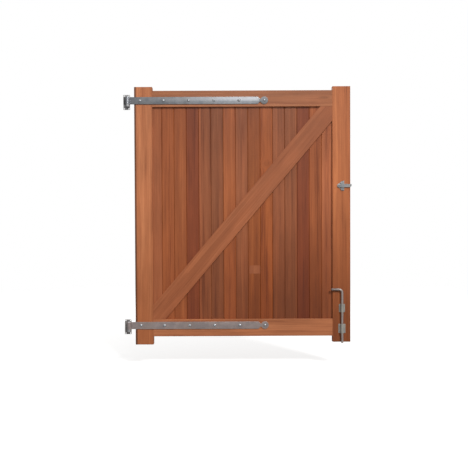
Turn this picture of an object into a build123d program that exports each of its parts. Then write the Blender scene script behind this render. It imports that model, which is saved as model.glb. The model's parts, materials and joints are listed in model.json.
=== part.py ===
from build123d import *
from math import atan2, degrees, hypot
import os

# Garden gate leaf: a framed, boarded and braced timber leaf on two strap hinges.
# X runs from the hanging side to the closing side, Y from the rear face to the front
# face, Z up. The origin is on the back face of the lower post plate, behind the hinge
# pin's axis and level with the lower strap's centre line. All sizes are millimetres.

# Driving dimensions: the leaf.
LEAF_WIDTH = 1500.0
RAIL_SPAN = 1708.0  # bottom edge of the bottom rail to top edge of the top rail
FRAME_T = 45.0
STILE_W = 125.0
TOP_RAIL_H = 112.0
BOTTOM_RAIL_H = 119.0
TOP_HORN = 27.0
HANGING_FOOT = 57.0  # how far each stile runs below the bottom rail
CLOSING_FOOT = 43.0
ARRIS = 4.0
INNER_ARRIS = 1.5
TENON_T = 15.0
TENON_SHOULDER = 14.0
WEDGE_L = 70.0
WEDGE_T = 5.0

# Driving dimensions: the boards and the brace.
BOARD_COUNT = 15
BOARD_PITCH = 85.6
FIRST_BOARD = 63.4  # cover of the board beside the hanging stile
BOARD_T = 17.0
BOARD_GAP = 0.4
V_DEPTH = 3.0
TONGUE_L = 8.0
TONGUE_T = 6.0
GROOVE_D = 12.0
HOUSING = 10.0  # how far the boards stand into the frame's groove
BRACE_W = 128.0
NAIL_D = 3.0
NAIL_L = 28.0
NAIL_HEAD_D = 7.0
NAIL_SPREAD = 56.0

# Driving dimensions: the hinges.
HINGE_SPACING = 1562.0
LOWER_STRAP_UP = 77.0  # lower strap's centre line above the bottom rail's bottom edge
PIN_TO_LEAF = 42.0
PIN_R = 8.0
EYE_BORE_R = 8.05
STRAP_W = 50.0
STRAP_T = 6.0
STRAP_SHOULDER = 858.0  # measured from the leaf's hanging edge, as is the penny's centre
PENNY_X = 903.0
PENNY_R = 26.0
NECK_W = 20.0
SEAM_ANGLE = 28.0
FIRST_BOLT = 40.0
BOLT_PITCH = 175.0
BOLT_D = 10.0
BOLT_HEAD_D = 20.0
BOLT_HEAD_H = 5.0
NUT_AF = 17.0
NUT_H = 8.0
WASHER_D = 24.0
WASHER_T = 2.0
PLATE_W = 46.0
PLATE_T = 6.0
PLATE_RISE = 42.0  # plate above and below the strap's centre line
PLATE_DROP = 61.0
PLATE_OFFSET = 10.0  # plate's centre outboard of the pin's axis
PLATE_HOLE_D = 8.5
PLATE_HOLE_EDGE = 7.0
EYE_TO_PLATE = 4.0
BOSS_R = 13.0
BOSS_H = 18.0
SHOULDER_GAP = 0.3

# Driving dimensions: the latch. Heights are above the bottom rail's bottom edge.
LATCH_Z = 1046.0
LATCH_PIVOT_X = 80.0  # in from the closing edge, as are the next three
LATCH_PLATE_X = 43.0
STAPLE_X = 45.0
NOSE_X = -7.0
LATCH_PLATE_H = 70.0
LATCH_PLATE_T = 3.0
BAR_H = 22.0
BAR_T = 5.0
STAPLE_W = 22.0
STAPLE_T = 3.5
STAPLE_FOOT_LOW = 21.0
STAPLE_FOOT_HIGH = 12.0
STAPLE_WINDOW = 29.5
SLIP = 0.4

# Driving dimensions: the drop bolt.
ROD_R = 8.0
ROD_X = 60.0  # in from the closing edge
ROD_STANDOFF = 12.0
ROD_LOW = -48.0
HANDLE_Z = 324.5
HANDLE_REACH = 78.0
BEND_R = 22.0
GUIDE_T = 3.0
UPPER_GUIDE_W = 42.0
UPPER_GUIDE_Z = (166.0, 222.0)
LOWER_GUIDE_W = 49.0
LOWER_GUIDE_Z = (20.0, 83.0)
SCREW_D = 4.0
SCREW_L = 28.0
SCREW_HEAD_D = 7.5
SCREW_HEAD_H = 2.4

# Places that follow from the driving dimensions.
PIN_Y = -PLATE_T - EYE_TO_PLATE - PIN_R - STRAP_T
REAR_Y = PIN_Y + PIN_R + STRAP_T
FRONT_Y = REAR_Y + FRAME_T
MIDDLE_Y = (REAR_Y + FRONT_Y) / 2
BOARD_Y0 = MIDDLE_Y - BOARD_T / 2
BOARD_Y1 = MIDDLE_Y + BOARD_T / 2
BRACE_T = BOARD_Y0 - REAR_Y
LEAF_X0 = PIN_TO_LEAF
LEAF_X1 = LEAF_X0 + LEAF_WIDTH
OPEN_X0 = LEAF_X0 + STILE_W
OPEN_X1 = LEAF_X1 - STILE_W
RAIL_Z0 = -LOWER_STRAP_UP
RAIL_Z1 = RAIL_Z0 + RAIL_SPAN
OPEN_Z0 = RAIL_Z0 + BOTTOM_RAIL_H
OPEN_Z1 = RAIL_Z1 - TOP_RAIL_H
BRACE_ANGLE = degrees(atan2(OPEN_Z1 - OPEN_Z0, OPEN_X1 - OPEN_X0))
BRACE_SLOPE = (OPEN_Z1 - OPEN_Z0) / (OPEN_X1 - OPEN_X0)
STRAP_BOLTS = [LEAF_X0 + FIRST_BOLT]
STRAP_BOLTS += [LEAF_X0 + PENNY_X - k * BOLT_PITCH for k in range(4, -1, -1)]
HINGE_LEVELS = {"lower": 0.0, "upper": HINGE_SPACING}
ROD_AXIS = (LEAF_X1 - ROD_X, REAR_Y - ROD_STANDOFF)


def block(x0, x1, y0, y1, z0, z1):
    """A box between two corners."""
    middle = Pos((x0 + x1) / 2, (y0 + y1) / 2, (z0 + z1) / 2)
    return middle * Box(x1 - x0, y1 - y0, z1 - z0)


def facing_rear(x, y, z):
    """A place whose own +Z points out of the rear face, along -Y."""
    return Pos(x, y, z) * Rot(90, 0, 0)


def rear_plane(y):
    """A drawing plane at one depth, with X across and Z up."""
    return Plane(origin=(0, y, 0), x_dir=(1, 0, 0), z_dir=(0, -1, 0))


def stacked(solids):
    """Several solids of one kind, kept as one sub-part."""
    return Compound(children=list(solids))


# Timber frame


def tenon_levels(z0, z1):
    """Bottom and top of the tenon on a rail that runs from z0 to z1."""
    return z0 + TENON_SHOULDER, z1 - TENON_SHOULDER


def tenon(z0, z1):
    """The through tenons of one rail, as a bar right across the leaf."""
    low, high = tenon_levels(z0, z1)
    half = TENON_T / 2
    return block(LEAF_X0, LEAF_X1, MIDDLE_Y - half, MIDDLE_Y + half, low, high)


def wedge(x_end, inward, z):
    """A wedge driven into a tenon's end from the stile's outer edge."""
    outline = Polyline(
        (x_end, z - WEDGE_T / 2),
        (x_end, z + WEDGE_T / 2),
        (x_end + inward * WEDGE_L, z),
        close=True,
    )
    face = make_face(rear_plane(MIDDLE_Y) * outline)
    return extrude(face, amount=TENON_T / 2, both=True)


def wedge_set():
    """Two wedges in each end of both rails' tenons."""
    wedges = []
    for z0, z1 in ((RAIL_Z0, OPEN_Z0), (OPEN_Z1, RAIL_Z1)):
        low, high = tenon_levels(z0, z1)
        for z in (low + 2 * WEDGE_T, high - 2 * WEDGE_T):
            wedges.append(wedge(LEAF_X0, 1, z))
            wedges.append(wedge(LEAF_X1, -1, z))
    return wedges


def board_groove():
    """The space the boards' edges fill, a little deeper and wider than the boards."""
    half = (BOARD_T + BOARD_GAP) / 2
    return block(
        OPEN_X0 - GROOVE_D,
        OPEN_X1 + GROOVE_D,
        MIDDLE_Y - half,
        MIDDLE_Y + half,
        OPEN_Z0 - GROOVE_D,
        OPEN_Z1 + GROOVE_D,
    )


def stile(x_outer, x_inner, foot):
    """A stile with eased arrises, mortices for both rails and the board groove."""
    x0, x1 = sorted((x_outer, x_inner))
    body = block(x0, x1, REAR_Y, FRONT_Y, RAIL_Z0 - foot, RAIL_Z1 + TOP_HORN)
    uprights = body.edges().filter_by(Axis.Z)
    outer = [edge for edge in uprights if abs(edge.center().X - x_outer) < 1]
    body = fillet(outer, ARRIS)
    inner = [edge for edge in body.edges().filter_by(Axis.Z) if abs(edge.center().X - x_inner) < 1]
    body = fillet(inner, INNER_ARRIS)
    ends = body.faces().filter_by(Axis.Z).edges()
    body = fillet(ends, INNER_ARRIS)
    body -= tenon(RAIL_Z0, OPEN_Z0)
    body -= tenon(OPEN_Z1, RAIL_Z1)
    return body - board_groove()


def rail(z0, z1):
    """A rail with eased arrises, through tenons cut for wedges, and the board groove."""
    body = block(OPEN_X0, OPEN_X1, REAR_Y, FRONT_Y, z0, z1)
    body = fillet(body.edges().filter_by(Axis.X), INNER_ARRIS)
    body -= board_groove()
    body += tenon(z0, z1)
    for piece in wedge_set():
        body -= piece
    return body


# Boards and brace


def plain_edge(x):
    """Outline of a board edge that stands in a stile's groove, rear face to front."""
    return [(x, BOARD_Y0), (x, BOARD_Y1)]


def jointed_edge(x, inward, reach, half):
    """Outline of a V-jointed board edge with its tongue or groove, rear to front."""
    return [
        (x + inward * V_DEPTH, BOARD_Y0),
        (x, BOARD_Y0 + V_DEPTH),
        (x, MIDDLE_Y - half),
        (x + reach, MIDDLE_Y - half),
        (x + reach, MIDDLE_Y + half),
        (x, MIDDLE_Y + half),
        (x, BOARD_Y1 - V_DEPTH),
        (x + inward * V_DEPTH, BOARD_Y1),
    ]


def joint_x(index):
    """Where board number index meets the next one."""
    return OPEN_X0 + FIRST_BOARD + (index - 1) * BOARD_PITCH


def board_middle(index):
    """The middle of a board's visible width."""
    left = OPEN_X0 if index == 1 else joint_x(index - 1)
    right = OPEN_X1 if index == BOARD_COUNT else joint_x(index)
    return (left + right) / 2


def nails_through(index):
    """The two nails that hold one board to the brace."""
    x = board_middle(index)
    level = OPEN_Z0 + (x - OPEN_X0) * BRACE_SLOPE
    for z in (level - NAIL_SPREAD / 2, level + NAIL_SPREAD / 2):
        place = Pos(x, BOARD_Y1, z) * Rot(90, 0, 0)
        shank = place * Cylinder(NAIL_D / 2, NAIL_L, align=(Align.CENTER, Align.CENTER, Align.MIN))
        head = place * Cylinder(NAIL_HEAD_D / 2, 1.0, align=(Align.CENTER, Align.CENTER, Align.MIN))
        yield shank + head


def board(index):
    """One upright board, tongued into the next and nailed to the brace."""
    groove = (TONGUE_T + BOARD_GAP) / 2
    if index == 1:
        left = plain_edge(OPEN_X0 - HOUSING)
    else:
        left = jointed_edge(joint_x(index - 1) + BOARD_GAP / 2, 1, TONGUE_L + BOARD_GAP, groove)
    if index == BOARD_COUNT:
        right = plain_edge(OPEN_X1 + HOUSING)
    else:
        right = jointed_edge(joint_x(index) - BOARD_GAP / 2, -1, TONGUE_L, TONGUE_T / 2)
    outline = make_face(Polyline(*left, *reversed(right), close=True))
    height = OPEN_Z1 - OPEN_Z0 + 2 * HOUSING
    body = Pos(0, 0, OPEN_Z0 - HOUSING) * extrude(outline, amount=height, dir=(0, 0, 1))
    for nail in nails_through(index):
        body -= nail
    return body


def brace():
    """The diagonal brace, cut to fit the lower hanging and upper closing corners."""
    length = hypot(OPEN_X1 - OPEN_X0, OPEN_Z1 - OPEN_Z0) + 2 * BRACE_W
    plank = Box(length, BRACE_T, BRACE_W)
    rear_arrises = plank.edges().filter_by(Axis.X).group_by(Axis.Y)[0]
    plank = fillet(rear_arrises, INNER_ARRIS)
    middle = Pos((OPEN_X0 + OPEN_X1) / 2, REAR_Y + BRACE_T / 2, (OPEN_Z0 + OPEN_Z1) / 2)
    plank = middle * Rot(0, -BRACE_ANGLE, 0) * plank
    body = plank & block(OPEN_X0, OPEN_X1, REAR_Y, BOARD_Y0, OPEN_Z0, OPEN_Z1)
    for index in range(1, BOARD_COUNT + 1):
        for nail in nails_through(index):
            body -= nail
    return body


# Hinges


def strap(z):
    """A strap with a shouldered penny end, its other end rolled into the pin's eye."""
    half = STRAP_W / 2
    shoulder = LEAF_X0 + STRAP_SHOULDER
    neck = LEAF_X0 + PENNY_X - PENNY_R - 4
    penny = LEAF_X0 + PENNY_X
    bar = Polyline(
        (0, -half),
        (shoulder, -half),
        (neck, -NECK_W / 2),
        (penny, -NECK_W / 2),
        (penny, NECK_W / 2),
        (neck, NECK_W / 2),
        (shoulder, half),
        (0, half),
        close=True,
    )
    outline = make_face(bar) + Pos(penny, 0) * Circle(PENNY_R)
    body = Pos(0, 0, z) * extrude(rear_plane(REAR_Y) * outline, amount=STRAP_T)
    on_pin = Pos(0, PIN_Y, z)
    body += on_pin * Cylinder(PIN_R + STRAP_T, STRAP_W)
    body -= on_pin * Cylinder(EYE_BORE_R, STRAP_W)
    seam = Rot(0, 0, SEAM_ANGLE) * Pos(PIN_R + STRAP_T / 2, 0, 0) * Box(2 * STRAP_T, 1.2, STRAP_W)
    body -= on_pin * seam
    for x in STRAP_BOLTS:
        hole = Box(BOLT_D + 2 * SLIP, BOLT_D + 2 * SLIP, 2 * STRAP_T)
        body -= facing_rear(x, REAR_Y, z) * hole
    return body


def dome(diameter, height):
    """A domed screw head, standing on its own XY plane."""
    radius = (diameter**2 / 4 + height**2) / (2 * height)
    ball = Pos(0, 0, height - radius) * Sphere(radius)
    return split(ball, bisect_by=Plane.XY, keep=Keep.TOP)


def shank(diameter, length):
    """A plain shank running back from its own XY plane."""
    return Cylinder(diameter / 2, length, align=(Align.CENTER, Align.CENTER, Align.MAX))


def carriage_bolt(x, z):
    """A domed carriage bolt with its square neck in the strap."""
    length = STRAP_T + FRAME_T + WASHER_T + NUT_H + 3
    neck = Pos(0, 0, -STRAP_T / 2) * Box(BOLT_D, BOLT_D, STRAP_T)
    body = dome(BOLT_HEAD_D, BOLT_HEAD_H) + neck + shank(BOLT_D, length)
    return facing_rear(x, REAR_Y - STRAP_T, z) * body


def washer(x, z):
    """A washer on the leaf's front face."""
    ring = Cylinder(WASHER_D / 2, WASHER_T) - Cylinder(BOLT_D / 2 + SLIP, WASHER_T)
    return facing_rear(x, FRONT_Y + WASHER_T / 2, z) * ring


def nut(x, z):
    """A hexagon nut on its washer."""
    hexagon = RegularPolygon(NUT_AF / 2, 6, major_radius=False) - Circle(BOLT_D / 2)
    body = extrude(hexagon, amount=NUT_H)
    return facing_rear(x, FRONT_Y + WASHER_T + NUT_H, z) * body


def post_plate(z):
    """A post plate with four fixing holes and the hole its pintle is riveted in."""
    x0 = -PLATE_OFFSET - PLATE_W / 2
    x1 = x0 + PLATE_W
    z0 = z - PLATE_DROP
    z1 = z + PLATE_RISE
    body = block(x0, x1, -PLATE_T, 0, z0, z1)
    body = fillet(body.edges().filter_by(Axis.Y), 3)
    for x in (x0 + PLATE_HOLE_EDGE, x1 - PLATE_HOLE_EDGE):
        for level in (z0 + PLATE_HOLE_EDGE, z1 - PLATE_HOLE_EDGE):
            body -= facing_rear(x, 0, level) * Cylinder(PLATE_HOLE_D / 2, 3 * PLATE_T)
    return body - rivet(z)


def rivet(z):
    """The round tail of a pintle, closed over flush with the plate's back."""
    level = z - STRAP_W / 2 - SHOULDER_GAP - BOSS_H / 2
    return facing_rear(0, -PLATE_T / 2, level) * Cylinder(BOSS_H / 2 - 2, PLATE_T)


def pintle(z):
    """A pintle: an upright pin on a shouldered boss, carried by an arm off the plate."""
    top = z - STRAP_W / 2 - SHOULDER_GAP
    base = (Align.CENTER, Align.CENTER, Align.MIN)
    pin = Cylinder(PIN_R, BOSS_H + SHOULDER_GAP + STRAP_W + 4, align=base)
    pin = chamfer(pin.edges().group_by(Axis.Z)[-1], 2)
    boss = Cylinder(BOSS_R, BOSS_H, align=base)
    boss = fillet(boss.edges().group_by(Axis.Z)[0], 3)
    arm = block(-9, 9, PIN_Y, -PLATE_T, top - BOSS_H, top)
    return Pos(0, PIN_Y, top - BOSS_H) * (pin + boss) + arm + rivet(z)


# Latch


def latch_x(inset):
    """A distance in from the closing edge, as X."""
    return LEAF_X1 - inset


def latch_plate():
    """A three-cornered plate with the latch bar's pivot at its narrow end."""
    z = RAIL_Z0 + LATCH_Z
    corner = 4.0
    right = latch_x(LATCH_PLATE_X) - corner
    half = LATCH_PLATE_H / 2 - corner
    round_ends = Pos(latch_x(LATCH_PIVOT_X), z) * Circle(13)
    round_ends += Pos(right, z + half) * Circle(corner)
    round_ends += Pos(right, z - half) * Circle(corner)
    outline = make_hull(round_ends.edges())
    return extrude(rear_plane(REAR_Y) * outline, amount=LATCH_PLATE_T)


def latch_bar():
    """The latch bar, its pivot end rounded and its nose bevelled underneath."""
    z = RAIL_Z0 + LATCH_Z
    half = BAR_H / 2
    pivot = latch_x(LATCH_PIVOT_X)
    nose = latch_x(NOSE_X)
    outline = make_face(
        Polyline(
            (pivot, z - half),
            (nose - 14, z - half),
            (nose, z - half + 7),
            (nose, z + half - 2),
            (nose - 2, z + half),
            (pivot, z + half),
            close=True,
        )
    )
    outline += Pos(pivot, z) * Circle(half)
    outline -= Pos(pivot, z) * Circle(SCREW_D)
    body = extrude(rear_plane(REAR_Y - LATCH_PLATE_T - SLIP) * outline, amount=BAR_T)
    return body


def latch_staple():
    """A strip bent over the bar, which rests on its lower leg."""
    bar_low = RAIL_Z0 + LATCH_Z - BAR_H / 2
    face = REAR_Y - LATCH_PLATE_T
    inside = face - BAR_T - 3 * SLIP
    low = bar_low - SLIP
    high = low + STAPLE_WINDOW
    x1 = latch_x(STAPLE_X)
    x0 = x1 - STAPLE_W
    body = block(x0, x1, inside - STAPLE_T, face, low - STAPLE_T, high + STAPLE_T)
    body = fillet(body.edges().filter_by(Axis.X).group_by(Axis.Y)[0], STAPLE_T)
    body += block(x0, x1, face - STAPLE_T, face, low - STAPLE_FOOT_LOW, high + STAPLE_FOOT_HIGH)
    body -= block(x0, x1, inside, face, low, high)
    for x, z in staple_screws():
        body -= facing_rear(x, face, z) * Cylinder(SCREW_D / 2, 4 * STAPLE_T)
    return body


def staple_screws():
    """Where the staple is screwed to the stile."""
    low = RAIL_Z0 + LATCH_Z - BAR_H / 2 - SLIP
    x = latch_x(STAPLE_X) - STAPLE_W / 2
    upper_foot = low + STAPLE_WINDOW + (STAPLE_T + STAPLE_FOOT_HIGH) / 2
    lower_foot = low - (STAPLE_T + STAPLE_FOOT_LOW) / 2
    return [(x, lower_foot), (x, upper_foot)]


def latch_pivot():
    """The shouldered screw the latch bar turns on."""
    place = facing_rear(latch_x(LATCH_PIVOT_X), REAR_Y - LATCH_PLATE_T, RAIL_Z0 + LATCH_Z)
    collar_h = BAR_T + 2 * SLIP
    collar = Pos(0, 0, collar_h / 2) * Cylinder(SCREW_D - 0.05, collar_h)
    head = Pos(0, 0, collar_h) * dome(14, 3.5)
    return place * (collar + head + shank(SCREW_D, SCREW_L))


def wood_screw(x, y, z):
    """A dome-headed screw in the rear face of the closing stile."""
    return facing_rear(x, y, z) * (dome(SCREW_HEAD_D, SCREW_HEAD_H) + shank(SCREW_D, SCREW_L))


def latch_screws():
    """The two screws that hold the staple and the plate."""
    y = REAR_Y - LATCH_PLATE_T - STAPLE_T
    return [wood_screw(x, y, z) for x, z in staple_screws()]


# Drop bolt


def drop_bolt():
    """A round bolt, bent over at the top into a handle."""
    x, y = ROD_AXIS
    low = RAIL_Z0 + ROD_LOW
    high = RAIL_Z0 + HANDLE_Z
    path = FilletPolyline(
        (x, y, low), (x, y, high), (x - HANDLE_REACH + ROD_R, y, high), radius=BEND_R
    )
    section = Plane(origin=path @ 0, z_dir=path % 0) * Circle(ROD_R)
    body = sweep(section, path=path)
    body += Pos(x - HANDLE_REACH + ROD_R, y, high) * Sphere(ROD_R)
    return chamfer(body.edges().group_by(Axis.Z)[0], 2)


def guide(width, levels):
    """A saddle guide: an arch over the bolt between two screwed flanges."""
    x, y = ROD_AXIS
    inner = ROD_R + SLIP
    outer = inner + GUIDE_T
    mid_y = (y + REAR_Y) / 2
    outline = Pos(x, y) * Circle(outer)
    outline += Pos(x, mid_y) * Rectangle(2 * outer, ROD_STANDOFF)
    outline += Pos(x, REAR_Y - GUIDE_T / 2) * Rectangle(width, GUIDE_T)
    outline -= Pos(x, y) * Circle(inner)
    outline -= Pos(x, mid_y) * Rectangle(2 * inner, ROD_STANDOFF)
    z0, z1 = (RAIL_Z0 + level for level in levels)
    body = Pos(0, 0, z0) * extrude(outline, amount=z1 - z0)
    for sx, sz in guide_screw_places(width, levels):
        body -= facing_rear(sx, REAR_Y, sz) * Cylinder(SCREW_D / 2, 4 * GUIDE_T)
    return body


def guide_screw_places(width, levels):
    """Two screws down each flange of a guide."""
    arch = ROD_R + SLIP + GUIDE_T
    offset = (width / 2 + arch) / 2
    inset = 12.0
    places = []
    for x in (ROD_AXIS[0] - offset, ROD_AXIS[0] + offset):
        for z in (levels[0] + inset, levels[1] - inset):
            places.append((x, RAIL_Z0 + z))
    return places


def guide_screws():
    """The screws of both guides."""
    places = guide_screw_places(UPPER_GUIDE_W, UPPER_GUIDE_Z)
    places += guide_screw_places(LOWER_GUIDE_W, LOWER_GUIDE_Z)
    return [wood_screw(x, REAR_Y - GUIDE_T, z) for x, z in places]


# Assembly


def strap_bolt_holes():
    """The drilled holes of both straps' bolts, through the frame."""
    holes = []
    for z in HINGE_LEVELS.values():
        for x in STRAP_BOLTS:
            holes.append(facing_rear(x, MIDDLE_Y, z) * Cylinder(BOLT_D / 2, 2 * FRAME_T))
    return holes


def timber():
    """The frame, drilled for its fastenings."""
    parts = {
        "hanging_stile": stile(LEAF_X0, OPEN_X0, HANGING_FOOT),
        "closing_stile": stile(LEAF_X1, OPEN_X1, CLOSING_FOOT),
        "top_rail": rail(OPEN_Z1, RAIL_Z1),
        "bottom_rail": rail(RAIL_Z0, OPEN_Z0),
    }
    for name in ("hanging_stile", "top_rail", "bottom_rail"):
        for hole in strap_bolt_holes():
            parts[name] -= hole
    for screw in latch_screws() + guide_screws() + [latch_pivot()]:
        for name in ("closing_stile", "top_rail", "bottom_rail"):
            parts[name] -= screw
    parts["brace"] = brace()
    for index in range(1, BOARD_COUNT + 1):
        parts[f"board_{index:02d}"] = board(index)
    parts["tenon_wedges"] = stacked(wedge_set())
    nails = [nail for index in range(1, BOARD_COUNT + 1) for nail in nails_through(index)]
    parts["brace_nails"] = stacked(nails)
    return parts


def hinges():
    """Both hinges: strap, bolts, washers, nuts, post plate and pintle."""
    parts = {}
    for level, z in HINGE_LEVELS.items():
        parts[f"{level}_strap"] = strap(z)
        parts[f"{level}_strap_bolts"] = stacked(carriage_bolt(x, z) for x in STRAP_BOLTS)
        parts[f"{level}_strap_washers"] = stacked(washer(x, z) for x in STRAP_BOLTS)
        parts[f"{level}_strap_nuts"] = stacked(nut(x, z) for x in STRAP_BOLTS)
        parts[f"{level}_post_plate"] = post_plate(z)
        parts[f"{level}_pintle"] = pintle(z)
    return parts


def closing_gear():
    """The latch and the drop bolt."""
    pivot = latch_pivot()
    plate = latch_plate() - pivot
    for screw in latch_screws():
        plate -= screw
    return {
        "latch_plate": plate,
        "latch_bar": latch_bar(),
        "latch_staple": latch_staple(),
        "latch_pivot": pivot,
        "latch_screws": stacked(latch_screws()),
        "drop_bolt": drop_bolt(),
        "upper_guide": guide(UPPER_GUIDE_W, UPPER_GUIDE_Z),
        "lower_guide": guide(LOWER_GUIDE_W, LOWER_GUIDE_Z),
        "guide_screws": stacked(guide_screws()),
    }


def main():
    """Write every sub-part to its own file."""
    os.makedirs("parts", exist_ok=True)
    for name, shape in {**timber(), **hinges(), **closing_gear()}.items():
        shape.label = name
        export_step(shape, f"parts/{name}.step")


main()
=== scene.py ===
import json
from math import atan2, cos, radians, sin, tan, tau
from typing import NamedTuple

import bmesh
import bpy
from mathutils import Matrix, Vector


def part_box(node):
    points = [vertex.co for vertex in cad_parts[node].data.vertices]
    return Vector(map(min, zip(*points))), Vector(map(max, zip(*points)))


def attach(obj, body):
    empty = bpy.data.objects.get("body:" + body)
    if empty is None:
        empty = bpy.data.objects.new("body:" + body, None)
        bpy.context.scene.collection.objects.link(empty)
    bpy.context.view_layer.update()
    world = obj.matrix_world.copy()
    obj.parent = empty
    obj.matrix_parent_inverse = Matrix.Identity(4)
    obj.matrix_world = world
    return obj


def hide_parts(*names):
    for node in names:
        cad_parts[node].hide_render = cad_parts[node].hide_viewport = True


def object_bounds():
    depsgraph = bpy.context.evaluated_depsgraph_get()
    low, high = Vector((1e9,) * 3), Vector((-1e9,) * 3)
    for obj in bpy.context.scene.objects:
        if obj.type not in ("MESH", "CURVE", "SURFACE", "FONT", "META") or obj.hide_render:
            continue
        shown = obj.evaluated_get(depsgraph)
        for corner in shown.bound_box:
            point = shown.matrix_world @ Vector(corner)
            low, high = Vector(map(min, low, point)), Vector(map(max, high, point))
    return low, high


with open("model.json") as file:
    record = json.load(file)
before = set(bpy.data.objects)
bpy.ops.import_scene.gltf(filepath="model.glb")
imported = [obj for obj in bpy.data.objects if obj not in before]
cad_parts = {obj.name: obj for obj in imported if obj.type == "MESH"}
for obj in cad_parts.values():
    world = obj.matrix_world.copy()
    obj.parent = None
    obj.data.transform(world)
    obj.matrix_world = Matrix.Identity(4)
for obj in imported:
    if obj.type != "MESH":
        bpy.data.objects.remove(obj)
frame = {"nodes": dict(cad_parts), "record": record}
CAD_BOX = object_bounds()
NODES = frame["nodes"]
BODIES = frame["record"]["behaviour"]["bodies"]
BODY_OF = {node: body for body, nodes in BODIES.items() for node in nodes}
UP = Vector((0, 0, 1))


def corners(node):
    low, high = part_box(node)
    return Vector(low), Vector(high)


def middle(node):
    low, high = corners(node)
    return (low + high) / 2


# Node trees


class Net:
    """A material's node tree, with short ways to add nodes and join them."""

    def __init__(self, name):
        self.material = bpy.data.materials.new(name)
        self.material.use_nodes = True
        self.tree = self.material.node_tree
        self.tree.nodes.clear()

    def node(self, kind, inputs=(), **settings):
        made = self.tree.nodes.new("ShaderNode" + kind)
        for key, value in settings.items():
            setattr(made, key, value)
        for key, value in dict(inputs).items():
            self.feed(made.inputs[key], value)
        return made

    def feed(self, socket, value):
        if isinstance(value, bpy.types.NodeSocket):
            self.tree.links.new(value, socket)
        else:
            socket.default_value = value

    def maths(self, operation, *values):
        made = self.node("Math", operation=operation)
        for socket, value in zip(made.inputs, values):
            self.feed(socket, value)
        return made.outputs[0]

    def add(self, *values):
        total = values[0]
        for value in values[1:]:
            total = self.maths("ADD", total, value)
        return total

    def times(self, *values):
        total = values[0]
        for value in values[1:]:
            total = self.maths("MULTIPLY", total, value)
        return total

    def about_zero(self, noise):
        return self.add(noise, -0.5)

    def less(self, mask, amount):
        """1 where the mask is 0, and amount less than that where the mask is 1."""
        return self.maths("SUBTRACT", 1.0, self.times(mask, amount))

    def span(self, value, low, high, start=0.0, end=1.0, smooth=True):
        """value's place between low and high, as start to end."""
        return self.node(
            "MapRange",
            {"Value": value, "From Min": low, "From Max": high, "To Min": start, "To Max": end},
            interpolation_type="SMOOTHSTEP" if smooth else "LINEAR",
        ).outputs[0]

    def join(self, x, y, z):
        return self.node("CombineXYZ", {"X": x, "Y": y, "Z": z}).outputs[0]

    def split(self, vector):
        return self.node("SeparateXYZ", {"Vector": vector}).outputs[:]

    def place(self, output="Object"):
        return self.node("TexCoord").outputs[output]

    def noise(self, vector, detail=2.0, roughness=0.5):
        inputs = {"Vector": vector, "Scale": 1.0, "Detail": detail, "Roughness": roughness}
        return self.node("TexNoise", inputs).outputs["Fac"]

    def mix(self, factor, first, second, how="MIX"):
        made = self.node("Mix", data_type="RGBA", blend_type=how, clamp_factor=True)
        self.feed(made.inputs["Factor"], factor)
        self.feed(made.inputs[6], first)  # 6 and 7 are the node's two colours
        self.feed(made.inputs[7], second)
        return made.outputs[2]

    def scaled(self, vector, factor):
        inputs = {0: vector, "Scale": factor}
        return self.node("VectorMath", inputs, operation="SCALE").outputs[0]

    def bump(self, height, depth, strength):
        inputs = {"Height": height, "Distance": depth, "Strength": strength}
        return self.node("Bump", inputs).outputs["Normal"]

    def finish(self, colour, roughness, normal, **constants):
        """Joins the surface's shader and sets its constant values on its own sockets."""
        inputs = {"Base Color": colour, "Roughness": roughness, "Normal": normal}
        shader = self.node("BsdfPrincipled", inputs)
        for key, value in constants.items():
            shader.inputs[key.replace("_", " ")].default_value = value
        self.node("OutputMaterial", {"Surface": shader.outputs[0]})
        return self.material


def rgba(colour, factors=(1, 1, 1)):
    return tuple(c * f for c, f in zip(colour, factors)) + (1.0,)


def dress(node, material):
    """Puts a material in every slot of a CAD node's object."""
    for slot in NODES[node].material_slots:
        slot.link = "OBJECT"
        slot.material = material


# Timber

# Stains, as linear colours of the oiled faces, and what the darkest and palest grain makes of them.
STAINS = {
    "honey": (0.430, 0.145, 0.057),
    "tawny": (0.430, 0.130, 0.043),
    "rail": (0.358, 0.123, 0.049),
    "brace": (0.303, 0.090, 0.033),
    "amber": (0.293, 0.079, 0.0235),
    "sienna": (0.262, 0.068, 0.017),
    "rose": (0.262, 0.078, 0.029),
    "umber": (0.195, 0.0445, 0.0145),
}
DARK_GRAIN = (0.60, 0.50, 0.44)
PALE_GRAIN = (1.28, 1.40, 1.50)

# Each board's stain, how much lighter or darker than it the board is, and how dark its foot.
BOARDS = (
    ("rose", 1.20, 0.10),
    ("amber", 1.07, 0.09),
    ("amber", 1.00, 0.14),
    ("umber", 1.09, 0.18),
    ("rose", 1.02, 0.27),
    ("rose", 0.84, 0.21),
    ("amber", 1.17, 0.29),
    ("rose", 1.07, 0.41),
    ("sienna", 1.00, 0.33),
    ("sienna", 1.33, 0.40),
    ("rose", 1.08, 0.48),
    ("rose", 0.95, 0.39),
    ("umber", 1.14, 0.39),
    ("amber", 1.13, 0.53),
    ("rose", 1.60, 0.52),
)
BOARD_SEED = 3.7  # a board's seed is this times its number, unless the next line gives it one
BOARD_SEEDS = {15: 66.1}
PATCHED_BOARD = 9
KNOTTED_BOARD = 10

# Pale sapwood lines: board, place across it from its middle, half width and strength.
SAPWOOD = {
    5: ((-0.036, 0.010, 0.26),),
    6: ((0.020, 0.012, 0.14),),
    8: ((0.004, 0.012, 0.14),),
    11: ((-0.020, 0.006, 0.16),),
    12: ((0.030, 0.007, 0.22), (-0.012, 0.005, 0.16)),
}

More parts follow.
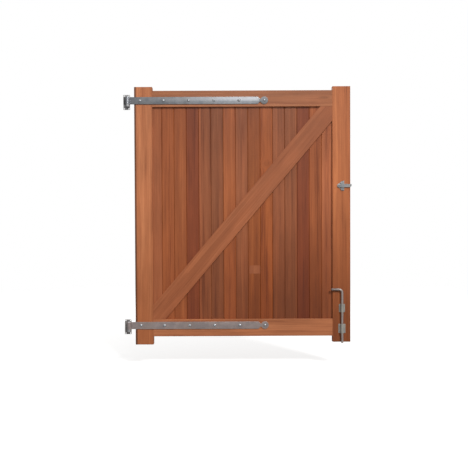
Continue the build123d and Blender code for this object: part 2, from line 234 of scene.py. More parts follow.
# Darker ends: feet darker towards the bottom, and painted shade at the boards' heads that offsets
# the sheen lamp's brightness there; how they tint the timber, and how far they reach, as shares of
# its height.
FOOT_TINT = (1.00, 0.84, 0.64)
FULL_TINT_DEPTH = 0.45  # a foot as dark as this is fully tinted
HEAD_SHADE_TINT = (1.00, 0.95, 0.87)
HEAD_PAINTED_SHADE = 0.13
BOARD_REACH = 0.60
STILE_REACH = 0.65

# The turn about Y that brings a timber's grain onto X.
UPRIGHT = radians(90)
LEVEL = 0.0

# Kinds of streak in the grain: how long and how wide each is, and the detail of its noise.
BANDS = (1.1, 0.030, 2.0)
LINES = (0.42, 0.0085, 3.0)
HAIRS = (0.10, 0.0019, 2.0)
PORES = (0.011, 0.0005, 1.0)
CLOUDS = (0.30, 0.075, 2.0)
STREAK_ROUGHNESS = 0.55
BANDS_TONE = 1.15  # how much each kind shows in the tone
LINES_TONE = 0.85
HAIRS_TONE = 0.40
CLOUDS_SHADE = (0.90, 1.10)
PORES_CUT = (0.60, 0.74)  # the noise that makes a pore
WANDER = 0.022  # how far the grain strays from straight
WANDER_PACE = (1.3, 6.0)  # how fast, along and across it
SEED_SHIFT = (1.37, 0.61)  # how far a seed moves the grain, across and through it

END_ON = (0.75, 0.9)  # how squarely a face looks along the grain before it shows as end grain
END_DARKER = 0.42
PORES_DARKER = 0.27
RINGS = 15.0  # how close a knot's rings are
KNOT_EDGE = 1.45  # how far its darkness reaches, in its own radii
SQUEEZE = 0.92  # how tightly the grain beside it is pushed together
RIM_FULL = 0.45  # the share of a dark rim's width that is at its darkest
LINE_FULL = 0.3  # and of a sapwood line's that is at its palest
TIMBER_RELIEF = 0.0005


class Knot(NamedTuple):
    place: tuple  # along and across the grain
    radii: tuple
    depth: float  # how much darker its heart is


class Fade(NamedTuple):
    """An end of a timber that is darker, with its own tint, than the rest: a darker foot, or
    painted shade at a board's head.
    """

    end: float
    clear: float  # where it has faded out
    depth: float
    tint: tuple
    strength: float = 1.0


class Rim(NamedTuple):
    """A band darker towards an arris along the grain: painted shade on the hanging stile's outer
    arris, and a darker top edge on the top rail.
    """

    edge: float
    width: float
    darkest: float


def timber_axes(net, turn):
    """Places along, through and across the grain, and whether a face shows end grain."""

    def turned(output):
        inputs = {"Vector": net.place(output), "Axis": (0, 1, 0), "Angle": turn}
        made = net.node("VectorRotate", inputs, rotation_type="AXIS_ANGLE")
        return net.split(made.outputs[0])

    along, through, across = turned("Object")
    end_on = net.span(net.maths("ABSOLUTE", turned("Normal")[0]), *END_ON)
    return along, through, across, end_on


def run_round(net, along, across, knot):
    """Grain that runs round a knot: its bent place across, and how far out from the heart."""
    (at_along, at_across), (half_long, half_wide) = knot.place, knot.radii
    out_along = net.maths("DIVIDE", net.add(along, -at_along), half_long)
    offset = net.add(across, -at_across)
    out_across = net.maths("DIVIDE", offset, half_wide)
    reach = net.add(net.maths("POWER", out_along, 2), net.maths("POWER", out_across, 2))
    outside = net.maths("MAXIMUM", reach, 1.0)
    squeeze = net.maths("SUBTRACT", 1.0, net.maths("DIVIDE", SQUEEZE, outside))
    return net.add(net.times(offset, squeeze), at_across), net.maths("SQRT", reach)


def hardwood(
    name, stain, turn, seed, lightness=1.0, fades=(), knots=(), pale_lines=(), rim=None
):
    """Oiled tropical hardwood whose grain runs along X after a turn about Y."""
    net = Net(name)
    along, through, place_across, end_on = timber_axes(net, turn)

    across, reaches = place_across, []
    for knot in knots:
        across, reach = run_round(net, along, across, knot)
        reaches.append(reach)
    pace_along, pace_across = WANDER_PACE
    paced = net.join(net.times(along, pace_along), seed, net.times(across, pace_across))
    wander = net.times(net.about_zero(net.noise(paced, 1.0)), WANDER)
    across = net.add(across, wander)
    shifted_across = net.add(across, seed * SEED_SHIFT[0])
    shifted_through = net.add(through, seed * SEED_SHIFT[1])

    def streaks(length, width, detail):
        """Noise drawn out along the grain, with streaks about this long and wide."""
        place = net.join(
            net.maths("DIVIDE", along, length),
            net.maths("DIVIDE", shifted_through, width),
            net.maths("DIVIDE", shifted_across, width),
        )
        return net.noise(place, detail, STREAK_ROUGHNESS)

    bands, lines, hairs, clouds = (streaks(*kind) for kind in (BANDS, LINES, HAIRS, CLOUDS))
    pores = net.span(streaks(*PORES), *PORES_CUT)
    tone = net.add(
        net.times(net.about_zero(bands), BANDS_TONE),
        net.times(net.about_zero(lines), LINES_TONE),
        net.times(net.about_zero(hairs), HAIRS_TONE),
        0.5,
    )
    colour = net.mix(net.span(tone, 0.08, 0.5), rgba(stain, DARK_GRAIN), rgba(stain))
    colour = net.mix(net.span(tone, 0.5, 0.92), colour, rgba(stain, PALE_GRAIN))

    shade = net.times(net.span(clouds, 0.25, 0.75, *CLOUDS_SHADE), lightness)
    # darker ends: feet darker towards the bottom, and painted shade at board heads
    for fade in fades:
        near = net.span(along, fade.clear, fade.end)
        tinted = net.mix(1.0, colour, rgba(fade.tint), "MULTIPLY")
        colour = net.mix(net.times(near, fade.strength), colour, tinted)
        shade = net.times(shade, net.less(near, fade.depth))
    for centre, half_width, gain in pale_lines:
        off_line = net.maths("ABSOLUTE", net.add(across, -centre))
        paler = net.span(off_line, half_width * LINE_FULL, half_width, 1.0 + gain, 1.0)
        shade = net.times(shade, paler)
    shade = net.times(shade, net.less(pores, PORES_DARKER), net.less(end_on, END_DARKER))
    # darker towards a rim's arris: painted shade on the hanging stile
    if rim:
        off_edge = net.maths("ABSOLUTE", net.add(place_across, -rim.edge))
        full = rim.width * RIM_FULL
        shade = net.times(shade, net.span(off_edge, full, rim.width, rim.darkest, 1.0))
    for knot, reach in zip(knots, reaches):
        ring = net.span(net.maths("SINE", net.times(reach, RINGS)), -1.0, 1.0, 0.8, 1.0)
        heart = net.times(net.span(reach, KNOT_EDGE, 0.25), ring)
        shade = net.times(shade, net.less(heart, knot.depth))

    relief = net.add(net.times(lines, 0.5), net.times(hairs, 0.6), net.times(pores, -0.9))
    roughness = net.add(
        net.span(lines, 0.3, 0.7, 0.52, 0.42), net.times(pores, 0.2), net.times(end_on, 0.2)
    )
    return net.finish(
        net.scaled(colour, shade), roughness, net.bump(relief, TIMBER_RELIEF, 0.55),
        Specular_IOR_Level=0.30, Coat_Weight=0.04, Coat_Roughness=0.34,
    )


def foot_fade(node, reach, depth):
    low, high = corners(node)
    strength = min(1.0, depth / FULL_TINT_DEPTH)
    return Fade(low.z, low.z + reach * (high.z - low.z), depth, FOOT_TINT, strength)


def paint_boards():
    for index, (stain, lightness, depth) in enumerate(BOARDS, 1):
        node = f"board_{index:02d}"
        foot = foot_fade(node, BOARD_REACH, depth)
        # painted shade at the board's head, offsetting the sheen lamp
        head = Fade(corners(node)[1].z, foot.clear, HEAD_PAINTED_SHADE, HEAD_SHADE_TINT)
        centre = -middle(node).x  # across an upright's grain is towards -X
        lines = [(centre - off, half, gain) for off, half, gain in SAPWOOD.get(index, ())]
        knots = ()
        if index == KNOTTED_BOARD:
            knots = (Knot((1.123, centre), (0.024, 0.034), 0.16),)
        seed = BOARD_SEEDS.get(index, BOARD_SEED * index)
        dress(node, hardwood(
            node, STAINS[stain], UPRIGHT, seed, lightness, (foot, head), knots, lines
        ))


def paint_frame():
    stiles = (
        # the hanging stile's rim is painted shade on its outer arris
        ("hanging_stile", "honey", 71.0, 0.28, Rim(-corners("hanging_stile")[0].x, 0.019, 0.35)),
        ("closing_stile", "tawny", 83.0, 0.57, None),
    )
    for node, stain, seed, depth, rim in stiles:
        fades = (foot_fade(node, STILE_REACH, depth),)
        dress(node, hardwood(node, STAINS[stain], UPRIGHT, seed, fades=fades, rim=rim))
    low, high = corners("brace")
    slope = atan2(high.z - low.z, high.x - low.x)
    knot = Knot((1.360, middle("top_rail").z + 0.004), (0.040, 0.012), 0.30)
    rim = Rim(corners("top_rail")[1].z, 0.060, 0.82)
    others = (
        ("top_rail", "rail", LEVEL, 97.0, {"knots": (knot,), "rim": rim}),
        ("bottom_rail", "rail", LEVEL, 113.0, {"lightness": 1.04}),
        ("brace", "brace", slope, 131.0, {}),
        ("tenon_wedges", "rose", LEVEL, 149.0, {}),
    )
    for node, stain, turn, seed, details in others:
        dress(node, hardwood(node, STAINS[stain], turn, seed, **details))


# Metal

GALVANISED = (0.335, 0.34, 0.35)
ZINC = (0.42, 0.43, 0.45)
SPANGLES = 190.0  # flakes to a metre
CLOUD_SCALE = 22.0
FILM_SCALE = 7.0
GRIT_SCALE = 900.0
WORN_TINT = (1.7, 1.68, 1.66)
METAL_RELIEF = 0.0005
ZINC_CLOUD_SCALE = 160.0
MARK_SCALE = 2200.0
ZINC_RELIEF = 0.0002


class Zone(NamedTuple):
    """A part of a metal piece that is lighter or darker than the rest, by its place along X."""

    clear: float  # where it has faded out
    full: float
    factor: float  # its lightness
    rougher: float = 0.0
    heights: tuple = ()  # its middle level and half height, if it ends along Z too


def galvanised(name, seed, tint=GALVANISED, metallic=0.5, roughness=0.38, zones=()):
    """Hot-dip galvanised steel: faint spangle, cloudy oxide and brighter worn edges."""
    net = Net(name)
    own_place = net.place()
    level_x, _, level_z = net.split(own_place)
    shift = {0: own_place, 1: (seed, seed * 0.7, seed * 1.3)}
    place = net.node("VectorMath", shift, operation="ADD").outputs[0]
    cells = {"Vector": place, "Scale": SPANGLES, "Randomness": 0.9}
    flake = net.split(net.node("TexVoronoi", cells).outputs["Color"])[0]
    clouds = net.noise(net.scaled(place, CLOUD_SCALE), 3.0)
    film = net.noise(net.scaled(place, FILM_SCALE))
    grit = net.noise(net.scaled(place, GRIT_SCALE))
    worn = net.node("Attribute", attribute_name="worn").outputs["Fac"]

    dull, bright = rgba(tint, (0.88, 0.89, 0.90)), rgba(tint, (1.08, 1.07, 1.05))
    colour = net.mix(net.span(clouds, 0.35, 0.65), dull, bright)
    filmed = net.times(net.span(film, 0.45, 0.7), 0.5)
    colour = net.mix(filmed, colour, rgba(tint, (0.86, 0.84, 0.78)))
    shade = net.times(
        net.span(flake, 0.0, 1.0, 0.94, 1.06, smooth=False), net.span(grit, 0.3, 0.7, 0.96, 1.04)
    )
    rough = net.add(roughness, net.times(net.about_zero(clouds), 0.16), net.times(worn, -0.06))
    # zones: painted shade, shadow and highlight on some pieces
    for zone in zones:
        within = net.span(level_x, zone.clear, zone.full)
        if zone.heights:
            heart, half = zone.heights
            away = net.maths("ABSOLUTE", net.add(level_z, -heart))
            within = net.times(within, net.span(away, half * 1.25, half * 0.95))
        shade = net.times(shade, net.less(within, 1.0 - zone.factor))
        rough = net.add(rough, net.times(within, zone.rougher))
    colour = net.mix(net.times(worn, 0.5), net.scaled(colour, shade), rgba(tint, WORN_TINT))
    relief = net.add(net.times(grit, 0.3), clouds)
    return net.finish(colour, rough, net.bump(relief, METAL_RELIEF, 0.35), Metallic=metallic)


def zinc(name, seed):
    """Bright zinc plate on small fasteners, with light handling marks."""
    net = Net(name)
    place = net.place()
    clouds = net.noise(net.scaled(place, ZINC_CLOUD_SCALE + seed), 3.0)
    marks = net.noise(net.scaled(place, MARK_SCALE))
    colour = net.mix(net.span(clouds, 0.35, 0.65), rgba(ZINC, (0.78, 0.78, 0.76)), rgba(ZINC))
    colour = net.scaled(colour, net.span(marks, 0.3, 0.7, 0.93, 1.05))
    rough = net.span(clouds, 0.3, 0.7, 0.52, 0.40)
    bump = net.bump(net.add(clouds, marks), ZINC_RELIEF, 0.3)
    return net.finish(colour, rough, bump, Metallic=0.8)


# Shapes

WELD = 2e-6  # how near two corners of a CAD mesh are to be one
FLAT = radians(0.6)
CREASE = radians(32)


def joined(node):
    """A CAD node's mesh with its split corners joined."""
    shape = bmesh.new()
    shape.from_mesh(NODES[node].data)
    bmesh.ops.remove_doubles(shape, verts=shape.verts, dist=WELD)
    return shape


def solids(node):
    """The lowest and highest corners of each separate solid of a node."""
    shape = joined(node)
    seen, found = set(), []
    for start in shape.verts:
        if start in seen:
            continue
        seen.add(start)
        group = [start]
        for vert in group:
            near = [edge.other_vert(vert) for edge in vert.link_edges]
            group += [other for other in near if other not in seen]
            seen.update(near)
        places = list(zip(*(vert.co for vert in group)))
        found.append((Vector(map(min, places)), Vector(map(max, places))))
    shape.free()
    return sorted(found, key=lambda box: tuple(round(c, 5) for c in box[0]))


def add_piece(name, shape, material, body):
    """Makes a finished object of a shape, smooth but for its creases."""
    mesh = bpy.data.meshes.new(name)
    shape.to_mesh(mesh)
    shape.free()
    mesh.materials.append(material)
    mesh.shade_smooth()
    mesh.set_sharp_from_angle(angle=CREASE)
    piece = bpy.data.objects.new(name, mesh)
    bpy.context.scene.collection.objects.link(piece)
    weighted = piece.modifiers.new("normals", "WEIGHTED_NORMAL")
    weighted.keep_sharp = True
    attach(piece, body)
    return piece


def stand_in(name, shape, material, node):
    """A piece that stands for a CAD node, on its body, with the node hidden."""
    piece = add_piece(name, shape, material, BODY_OF[node])
    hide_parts(node)


def skin(shape, rings, looped=False):
    """Closes rings of corners into a solid, capped at its ends unless it is looped."""
    pairs = list(zip(rings, rings[1:]))
    if looped:
        pairs.append((rings[-1], rings[0]))
    faces = []
    for first, second in pairs:
        for step, vert in enumerate(first):
            after = (step + 1) % len(first)
            faces.append(shape.faces.new((vert, second[step], second[after], first[after])))
    if not looped:
        faces += [shape.faces.new(rings[0]), shape.faces.new(rings[-1][::-1])]
    bmesh.ops.recalc_face_normals(shape, faces=faces)


def spun(shape, place, rows, count, looped=False):
    """A closed solid about the Y line through place, each row a radius and a level along it.

    A row may also be a function of the angle that gives them."""
    rings = []
    for row in rows:
        verts = []
        for step in range(count):
            angle = tau * step / count
            radius, level = row(angle) if callable(row) else row
            offset = Vector((radius * cos(angle), level, radius * sin(angle)))
            verts.append(shape.verts.new(place + offset))
        rings.append(verts)
    skin(shape, rings, looped)


# Smithed pieces

# Radius of the rounded edges of each node that is softened.
EDGES = {
    "upper_strap": 0.0009,
    "lower_strap": 0.0009,
    "upper_post_plate": 0.0009,
    "lower_post_plate": 0.0009,
    "upper_pintle": 0.0006,
    "lower_pintle": 0.0006,
    "latch_plate": 0.0006,
    "latch_bar": 0.0008,
    "latch_staple": 0.0005,
    "upper_guide": 0.0006,
    "lower_guide": 0.0006,
    "upper_strap_washers": 0.0003,
    "lower_strap_washers": 0.0003,
}
EDGE_STEPS = 2

STRAP_HALF = 0.025
STRAP_THICK = 0.006
STRAP_START = 0.014  # where the strap leaves its eye
PENNY_START = 0.905
CROWN = 0.0012
CROWN_STEPS = 4
EYE_EDGE = corners("upper_strap")[0].x
HANDLE_END = corners("drop_bolt")[0].x

# What sets some of the galvanised pieces apart from the rest, painted light among it: painted
# reflections in some tints, and painted shade, shadow and highlight in some zones.
FINISHES = {
    "upper_strap": {
        # a darker tint than the lower strap's: painted shade for the darker reflection along its
        # face
        "tint": (0.222, 0.228, 0.243),
        "metallic": 0.88,
        "roughness": 0.36,
        "zones": (
            # painted shade on the penny end, where the sheen highlight falls off; rougher there too
            Zone(PENNY_START - 0.004, PENNY_START + 0.012, 0.83, rougher=0.14),
            Zone(STRAP_START + 0.004, STRAP_START - 0.002, 1.9),  # painted highlight on the eye
        ),
    },
    # warm tint: painted reflection of the timber
    "lower_strap": {"tint": (0.325, 0.268, 0.258)},
    "upper_post_plate": {
        "tint": (0.29, 0.285, 0.29),
        "metallic": 0.10,
        "roughness": 0.52,
        "zones": (  # painted shadow of the eye, on the plate beside it
            Zone(
                EYE_EDGE + 0.004, EYE_EDGE - 0.001, 0.22,
                heights=(middle("upper_strap").z, STRAP_HALF),
            ),
        ),
    },
    "lower_post_plate": {"tint": (0.185, 0.17, 0.165), "metallic": 0.10, "roughness": 0.52},
    "drop_bolt": {
        # warm tint: painted reflection of the timber
        "tint": (0.33, 0.275, 0.255),
        "roughness": 0.50,
        # painted shade on the handle end
        "zones": (Zone(HANDLE_END + 0.07, HANDLE_END + 0.02, 0.62),),
    },
    "upper_guide": {"tint": (0.33, 0.315, 0.28), "roughness": 0.46},
    "lower_guide": {"tint": (0.36, 0.345, 0.31), "roughness": 0.46},
}


def crown(shape, node):
    """Gives a strap's rear face a slight crown, highest along its middle line."""
    heart = middle(node).z
    face = corners("brace")[0].y - STRAP_THICK
    for step in range(1 - CROWN_STEPS, CROWN_STEPS):
        cut = (0, 0, heart + STRAP_HALF * step / CROWN_STEPS)
        parts = list(shape.verts) + list(shape.edges) + list(shape.faces)
        bmesh.ops.bisect_plane(shape, geom=parts, dist=WELD, plane_co=cut, plane_no=UP)
    for vert in shape.verts:
        start = min(1.0, max(0.0, (vert.co.x - STRAP_START) / STRAP_THICK))
        depth = (vert.co.y - face) / STRAP_THICK
        if start > 0 and depth < 1:
            off_middle = (vert.co.z - heart) / STRAP_HALF
            vert.co.y += CROWN * start * (1 - depth) * off_middle**2


def soften(node, radius, material):
    """Rounds over a node's hard edges, and marks them as worn."""
    shape = joined(node)
    bmesh.ops.dissolve_limit(shape, angle_limit=FLAT, verts=shape.verts, edges=shape.edges)
    worn = shape.loops.layers.float.new("worn")
    hard = [edge for edge in shape.edges if edge.calc_face_angle(0.0) > CREASE]
    tips = list({vert.index: vert for edge in hard for vert in edge.verts}.values())
    rounded = bmesh.ops.bevel(
        shape, geom=hard + tips, offset=radius, offset_type="OFFSET", segments=EDGE_STEPS,
        profile=0.5, affect="EDGES", clamp_overlap=False,
    )
    for face in rounded["faces"]:
        for loop in face.loops:
            loop[worn] = 1.0
    if node.endswith("strap"):
        crown(shape, node)
    stand_in(f"soft_{node}", shape, material, node)


BEND = 0.022  # radius of the drop bolt's bend, along its middle line
TIP = 0.002  # the chamfer at its foot
BOLT_SIDES = 40
BEND_STEPS = 16
DOME_STEPS = 8
DOME_TURN = radians(89)


def forge_drop_bolt():
    """The drop bolt, swept up its shank, round its bend and out to a domed end."""
    node = "drop_bolt"
    low, high = corners(node)
    radius = (high.y - low.y) / 2
    foot = Vector((high.x - radius, (low.y + high.y) / 2, low.z))
    top = high.z - radius
    hub = Vector((foot.x - BEND, foot.y, top - BEND))
    end = Vector((low.x + radius, foot.y, top))
    left, sideways = Vector((-1, 0, 0)), Vector((0, 1, 0))

    stations = [(foot, radius - TIP, UP), (foot + UP * TIP, radius, UP)]
    for share in (0.2, 0.4, 0.6, 0.8):
        stations.append((foot + UP * (hub.z - foot.z) * share, radius, UP))
    for step in range(BEND_STEPS + 1):
        angle = radians(90) * step / BEND_STEPS
        out = Vector((cos(angle), 0, sin(angle)))
        stations.append((hub + BEND * out, radius, Vector((-out.z, 0, out.x))))
    bend_end = stations[-1][0]
    for step in (1, 2, 3):
        stations.append((bend_end.lerp(end, step / 3), radius, left))
    for step in range(1, DOME_STEPS + 1):
        angle = DOME_TURN * step / DOME_STEPS
        stations.append((end + left * radius * sin(angle), radius * cos(angle), left))

    shape = bmesh.new()
    turns = [tau * step / BOLT_SIDES for step in range(BOLT_SIDES)]
    rings = []
    for place, reach, ahead in stations:
        across = ahead.cross(sideways)
        offsets = [reach * (cos(turn) * sideways + sin(turn) * across) for turn in turns]
        rings.append([shape.verts.new(place + offset) for offset in offsets])
    skin(shape, rings)
    stand_in(f"forged_{node}", shape, galvanised(node, 5.1, **FINISHES[node]), node)


def smith_metal():
    for index, (node, radius) in enumerate(EDGES.items()):
        if "washers" in node:
            material = zinc(node, index)
        else:
            material = galvanised(node, index * 0.37, **FINISHES.get(node, {}))
        soften(node, radius, material)
    forge_drop_bolt()


# Fasteners

THREAD_PITCH = 0.0015
THREAD_DEPTH = 0.00045
THREAD_LENGTH = 0.015
THREAD_STEPS = 8  # rows of the mesh to each turn
BOLT_HEAD = 0.005  # the height of a head, as are the next two
SCREW_HEAD = 0.0024
PIVOT_HEAD = 0.0035
BOLT_TO_HEAD = 0.5
BORE_TO_NUT = 0.588
NAIL_TO_HEAD = 0.43
NUT_SINK = 0.0007
SCREW_SHANK = 0.002
PIVOT_COLLAR = (0.00395, 0.0058)  # radius and length of the shoulder that the latch bar turns on


def turn_fasteners(node, seed, profile, count, looped=False):
    """Turned solids, about Y, that stand for each of a node's fasteners."""
    shape = bmesh.new()
    for low, high in solids(node):
        place = Vector(((low.x + high.x) / 2, 0, (low.z + high.z) / 2))
        spun(shape, place, profile(low, high), count, looped)
    stand_in(f"turned_{node}", shape, zinc(f"turned_{node}", seed), node)


def domed(radius, height, at):
    """A function that gives the level of a dome at a distance from its axis."""
    sphere = (radius**2 + height**2) / (2 * height)
    return lambda out: at - (sphere**2 - out**2) ** 0.5 + sphere - height


def threaded(radius, start, end):
    """Rows of a screw thread that runs in at start and ends in a chamfered tip."""
    rows = []
    steps = int((end - start) / THREAD_PITCH * THREAD_STEPS)
    for step in range(steps + 1):
        level = start + (end - start) * step / steps
        depth = THREAD_DEPTH * min(1.0, (level - start) / THREAD_PITCH)
        crest = min(radius, radius * 0.80 + (end - level))

        def row(angle, level=level, depth=depth, crest=crest):
            turn = (level / THREAD_PITCH - angle / tau) % 1.0
            return crest - depth * min(1.0, 2.4 * abs(turn - 0.5)), level

        rows.append(row)
    return rows


def carriage_bolt(low, high):
    """A domed bolt whose threaded end shows past its nut."""
    head = (high.x - low.x) / 2
    shank = head * BOLT_TO_HEAD
    under = low.y + BOLT_HEAD
    level = domed(head, BOLT_HEAD, under)
    parts = (0.04, 0.25, 0.45, 0.62, 0.77, 0.89, 0.96)
    rows = [(head * part, level(head * part)) for part in parts]
    rows += [(head * 0.992, under - 0.0003), (head * 0.985, under), (shank, under)]
    return rows + threaded(shank * 0.995, high.y - THREAD_LENGTH, high.y)


def hexagon_nut(low, high):
    """A hexagon nut, chamfered at both faces and countersunk at the bore."""
    half = (high.z - low.z) / 2
    bore, face = half * BORE_TO_NUT, half * 0.95

    def side(level, away):
        def row(angle):
            reach = half / cos(angle % radians(60) - radians(30))
            return reach, level + away * (reach - face) * tan(radians(30))
        return row

    rows = [(bore, low.y + NUT_SINK), (bore + NUT_SINK, low.y), (face, low.y), side(low.y, 1)]
    rows += [side(high.y, -1), (face, high.y)]
    return rows + [(bore + NUT_SINK, high.y), (bore, high.y - NUT_SINK)]


def cross_recess(half_wide, half_long):
    """The outline of a cross-shaped recess, as its reach at an angle."""

    def reach(angle):
        off_arm = (angle + radians(45)) % radians(90) - radians(45)
        if abs(tan(off_arm)) <= half_wide / half_long + 1e-6:
            return half_long / cos(off_arm)
        return half_wide / abs(sin(off_arm))

    return reach


def recessed_screw(head_height, collar=None):
    """A domed screw with a cross recess, its shank and point in the timber."""

    def profile(low, high):
        head = (high.x - low.x) / 2
        under = low.y + head_height
        level = domed(head, head_height, under)
        reach = cross_recess(head * 0.13, head * 0.52)

        def across(part):
            def row(angle):
                out = reach(angle) * (1 - part) + head * 0.985 * part
                return out, level(out)
            return row

        rows = [lambda angle: (reach(angle) * 0.5, low.y + head_height * 0.78)]
        rows += [across(part) for part in (0.0, 0.05, 0.3, 0.55, 0.8, 0.95, 1.0)]
        rows.append((head * 0.97, under))
        if collar:
            radius, length = collar
            rows += [(radius, under), (radius, under + length)]
            under += length
        rows += [(SCREW_SHANK, under), (SCREW_SHANK, high.y - 2.5 * SCREW_SHANK)]
        return rows + [(SCREW_SHANK * 0.12, high.y)]

    return profile


def wire_nail(low, high):
    """A round nail, its head a little crowned and its point drawn out."""
    head = (high.x - low.x) / 2
    shank = head * NAIL_TO_HEAD
    rows = [(shank * 0.1, low.y), (shank, low.y + 3 * shank), (shank, high.y - 0.0015)]
    rows += [(head * 0.97, high.y - 0.0011), (head, high.y - 0.0006)]
    rows += [(head * 0.94, high.y - 0.0002), (head * 0.6, high.y - 0.00006)]
    return rows + [(head * 0.1, high.y)]


def fit_fasteners():
    for level in ("upper", "lower"):
        turn_fasteners(f"{level}_strap_bolts", 7.0, carriage_bolt, 32)
        turn_fasteners(f"{level}_strap_nuts", 19.0, hexagon_nut, 48, looped=True)
    turn_fasteners("guide_screws", 31.0, recessed_screw(SCREW_HEAD), 48)
    turn_fasteners("latch_screws", 31.0, recessed_screw(SCREW_HEAD), 48)
    turn_fasteners("latch_pivot", 31.0, recessed_screw(PIVOT_HEAD, PIVOT_COLLAR), 48)
    turn_fasteners("brace_nails", 43.0, wire_nail, 20)


# The let-in patch

PATCH_SIZE = (0.076, 0.057)
PATCH_PROUD = 0.0004
PATCH_SUNK = 0.0005
PATCH_ARRIS = 0.0002
PATCH_CORNER = 0.0035
CORNER_STEPS = 4
PATCH_UP = 0.345  # its middle, above the opening's sill


def add_patch():
    """A rounded slip of paler wood let into a board below the brace."""
    board = f"board_{PATCHED_BOARD:02d}"
    low, high = corners("brace")
    centre = Vector((middle(board).x, 0, low.z + PATCH_UP))
    width, height = (size / 2 - PATCH_CORNER for size in PATCH_SIZE)
    outline = []
    for turn, (x, z) in enumerate(((1, 1), (-1, 1), (-1, -1), (1, -1))):
        heart = Vector((x * width, 0, z * height))
        for step in range(CORNER_STEPS + 1):
            angle = radians(90) * (turn + step / CORNER_STEPS)
            outline.append(heart + PATCH_CORNER * Vector((cos(angle), 0, sin(angle))))
    front = high.y - PATCH_PROUD
    rows = ((1.0, high.y + PATCH_SUNK), (1.0, front + PATCH_ARRIS), (0.994, front))
    shape = bmesh.new()
    rings = []
    for size, level in rows:
        places = [centre + point * size + Vector((0, level, 0)) for point in outline]
        rings.append([shape.verts.new(place) for place in places])
    skin(shape, rings)
    wood = hardwood("patch", STAINS["rose"], UPRIGHT, 171.0, 1.08)
    add_piece("board_patch", shape, wood, BODY_OF[board])


# Studio

CENTRE = (Vector(CAD_BOX[0]) + Vector(CAD_BOX[1])) / 2

CAMERA_DISTANCE = 4.51
CAMERA_LEFT = 0.024  # the camera's place, from the middle of the object
CAMERA_BELOW = 0.044
CAMERA_PITCH = radians(-1.047)
CAMERA_YAW = radians(0.03)
CAMERA_ROLL = radians(-0.233)
CAMERA_LENS = 49.74

WHITE = (1, 1, 1, 1)
WORLD_BELOW = (-0.6, 0.17)  # the world's light: how high a direction points, and its strength there
WORLD_ABOVE = (0.8, 0.53)
FLOOR_DROP = 0.16  # floor below the leaf's foot, clear of the lowered bolt
FLOOR_RADIUS = 7.0
FLOOR_FADE = (2.0, 6.5)
FLOOR_SEEN = (0.50, 0.50, 0.495, 1)
FLOOR_LIT = (0.35, 0.35, 0.35, 1)  # its colour in the light that it throws back
FLOOR_GLOW = 0.62

KEY_FROM = Vector((0.55, -1.0, 0.90))
KEY_POWER = 2.50
SHEEN_FROM = Vector((0.17, -3.5, 1.80))
SHEEN_POWER = 21.0
BACK_FROM = Vector((-1.5, 3.5, 1.8))
BACK_POWER = 60.0


def add_camera():
    data = bpy.data.cameras.new("camera")
    data.lens = CAMERA_LENS
    data.sensor_width = 36.0
    data.clip_end = 200.0
    camera = bpy.data.objects.new("camera", data)
    place = (CENTRE.x - CAMERA_LEFT, -CAMERA_DISTANCE, CENTRE.z - CAMERA_BELOW)
    yaw = Matrix.Rotation(CAMERA_YAW, 4, "Z")
    pitch = Matrix.Rotation(radians(90) + CAMERA_PITCH, 4, "X")
    roll = Matrix.Rotation(CAMERA_ROLL, 4, "Z")
    camera.matrix_world = Matrix.Translation(place) @ yaw @ pitch @ roll
    bpy.context.scene.collection.objects.link(camera)
    bpy.context.scene.camera = camera


def add_world():
    """A white surround that lights the object more softly than it shows."""
    world = bpy.data.worlds.new("studio")
    bpy.context.scene.world = world
    world.use_nodes = True
    tree = world.node_tree
    tree.nodes.clear()
    coordinates = tree.nodes.new("ShaderNodeTexCoord")
    direction = tree.nodes.new("ShaderNodeSeparateXYZ")
    tree.links.new(coordinates.outputs["Generated"], direction.inputs[0])
    strength = tree.nodes.new("ShaderNodeMapRange")
    tree.links.new(direction.outputs["Z"], strength.inputs["Value"])
    for end, (height, light) in (("Min", WORLD_BELOW), ("Max", WORLD_ABOVE)):
        strength.inputs[f"From {end}"].default_value = height
        strength.inputs[f"To {end}"].default_value = light
    soft = tree.nodes.new("ShaderNodeBackground")
    tree.links.new(strength.outputs[0], soft.inputs["Strength"])
    white = tree.nodes.new("ShaderNodeBackground")
    white.inputs["Strength"].default_value = 1.0
    for background in (soft, white):
        background.inputs["Color"].default_value = WHITE
    path = tree.nodes.new("ShaderNodeLightPath")
    blend = tree.nodes.new("ShaderNodeMixShader")
    tree.links.new(path.outputs["Is Camera Ray"], blend.inputs["Fac"])
    tree.links.new(soft.outputs[0], blend.inputs[1])
    tree.links.new(white.outputs[0], blend.inputs[2])
    out = tree.nodes.new("ShaderNodeOutputWorld")
    tree.links.new(blend.outputs[0], out.inputs["Surface"])


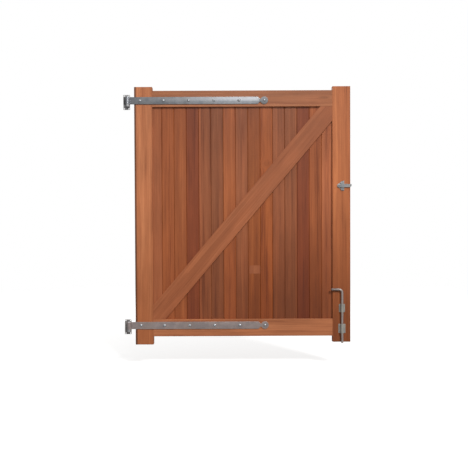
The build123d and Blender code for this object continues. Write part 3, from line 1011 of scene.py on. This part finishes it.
def add_floor():
    """A round pale floor whose rim fades into the white surround."""
    mesh = bpy.data.meshes.new("floor")
    shape = bmesh.new()
    bmesh.ops.create_circle(shape, cap_ends=True, radius=FLOOR_RADIUS, segments=96)
    shape.to_mesh(mesh)
    shape.free()
    floor = bpy.data.objects.new("floor", mesh)
    floor.location = (CENTRE.x, 0, CAD_BOX[0][2] - FLOOR_DROP)
    bpy.context.scene.collection.objects.link(floor)
    net = Net("floor")
    away = net.node("VectorMath", {0: net.place()}, operation="LENGTH").outputs["Value"]
    seen = net.node("LightPath").outputs["Is Camera Ray"]
    paint = net.node("BsdfDiffuse", {"Color": net.mix(seen, FLOOR_LIT, FLOOR_SEEN)})
    glow = net.node("Emission", {"Color": WHITE, "Strength": net.times(seen, FLOOR_GLOW)})
    paper = net.node("AddShader", {0: paint.outputs[0], 1: glow.outputs[0]})
    clear = net.node("BsdfTransparent")
    faded = {"Fac": net.span(away, *FLOOR_FADE), 1: paper.outputs[0], 2: clear.outputs[0]}
    net.node("OutputMaterial", {"Surface": net.node("MixShader", faded).outputs[0]})
    mesh.materials.append(net.material)


def add_lamp(name, kind, power, place, **settings):
    """A lamp that looks at the middle of the object."""
    data = bpy.data.lights.new(name, kind)
    data.energy = power
    for key, value in settings.items():
        setattr(data, key, value)
    lamp = bpy.data.objects.new(name, data)
    lamp.location = place
    lamp.rotation_euler = (CENTRE - place).to_track_quat("-Z", "Y").to_euler()
    bpy.context.scene.collection.objects.link(lamp)


def add_lights():
    add_lamp("key", "SUN", KEY_POWER, CENTRE + KEY_FROM * 3, angle=radians(12))
    heart = Vector((CENTRE.x, 0, CENTRE.z))
    panel = {"shape": "RECTANGLE", "size": 0.5, "size_y": 0.3}
    add_lamp("sheen", "AREA", SHEEN_POWER, heart + SHEEN_FROM, **panel)
    add_lamp("back", "AREA", BACK_POWER, heart + BACK_FROM, size=2.5)


bpy.context.scene.view_settings.view_transform = "Standard"
paint_boards()
paint_frame()
smith_metal()
fit_fasteners()
add_patch()
add_camera()
add_world()
add_floor()
add_lights()
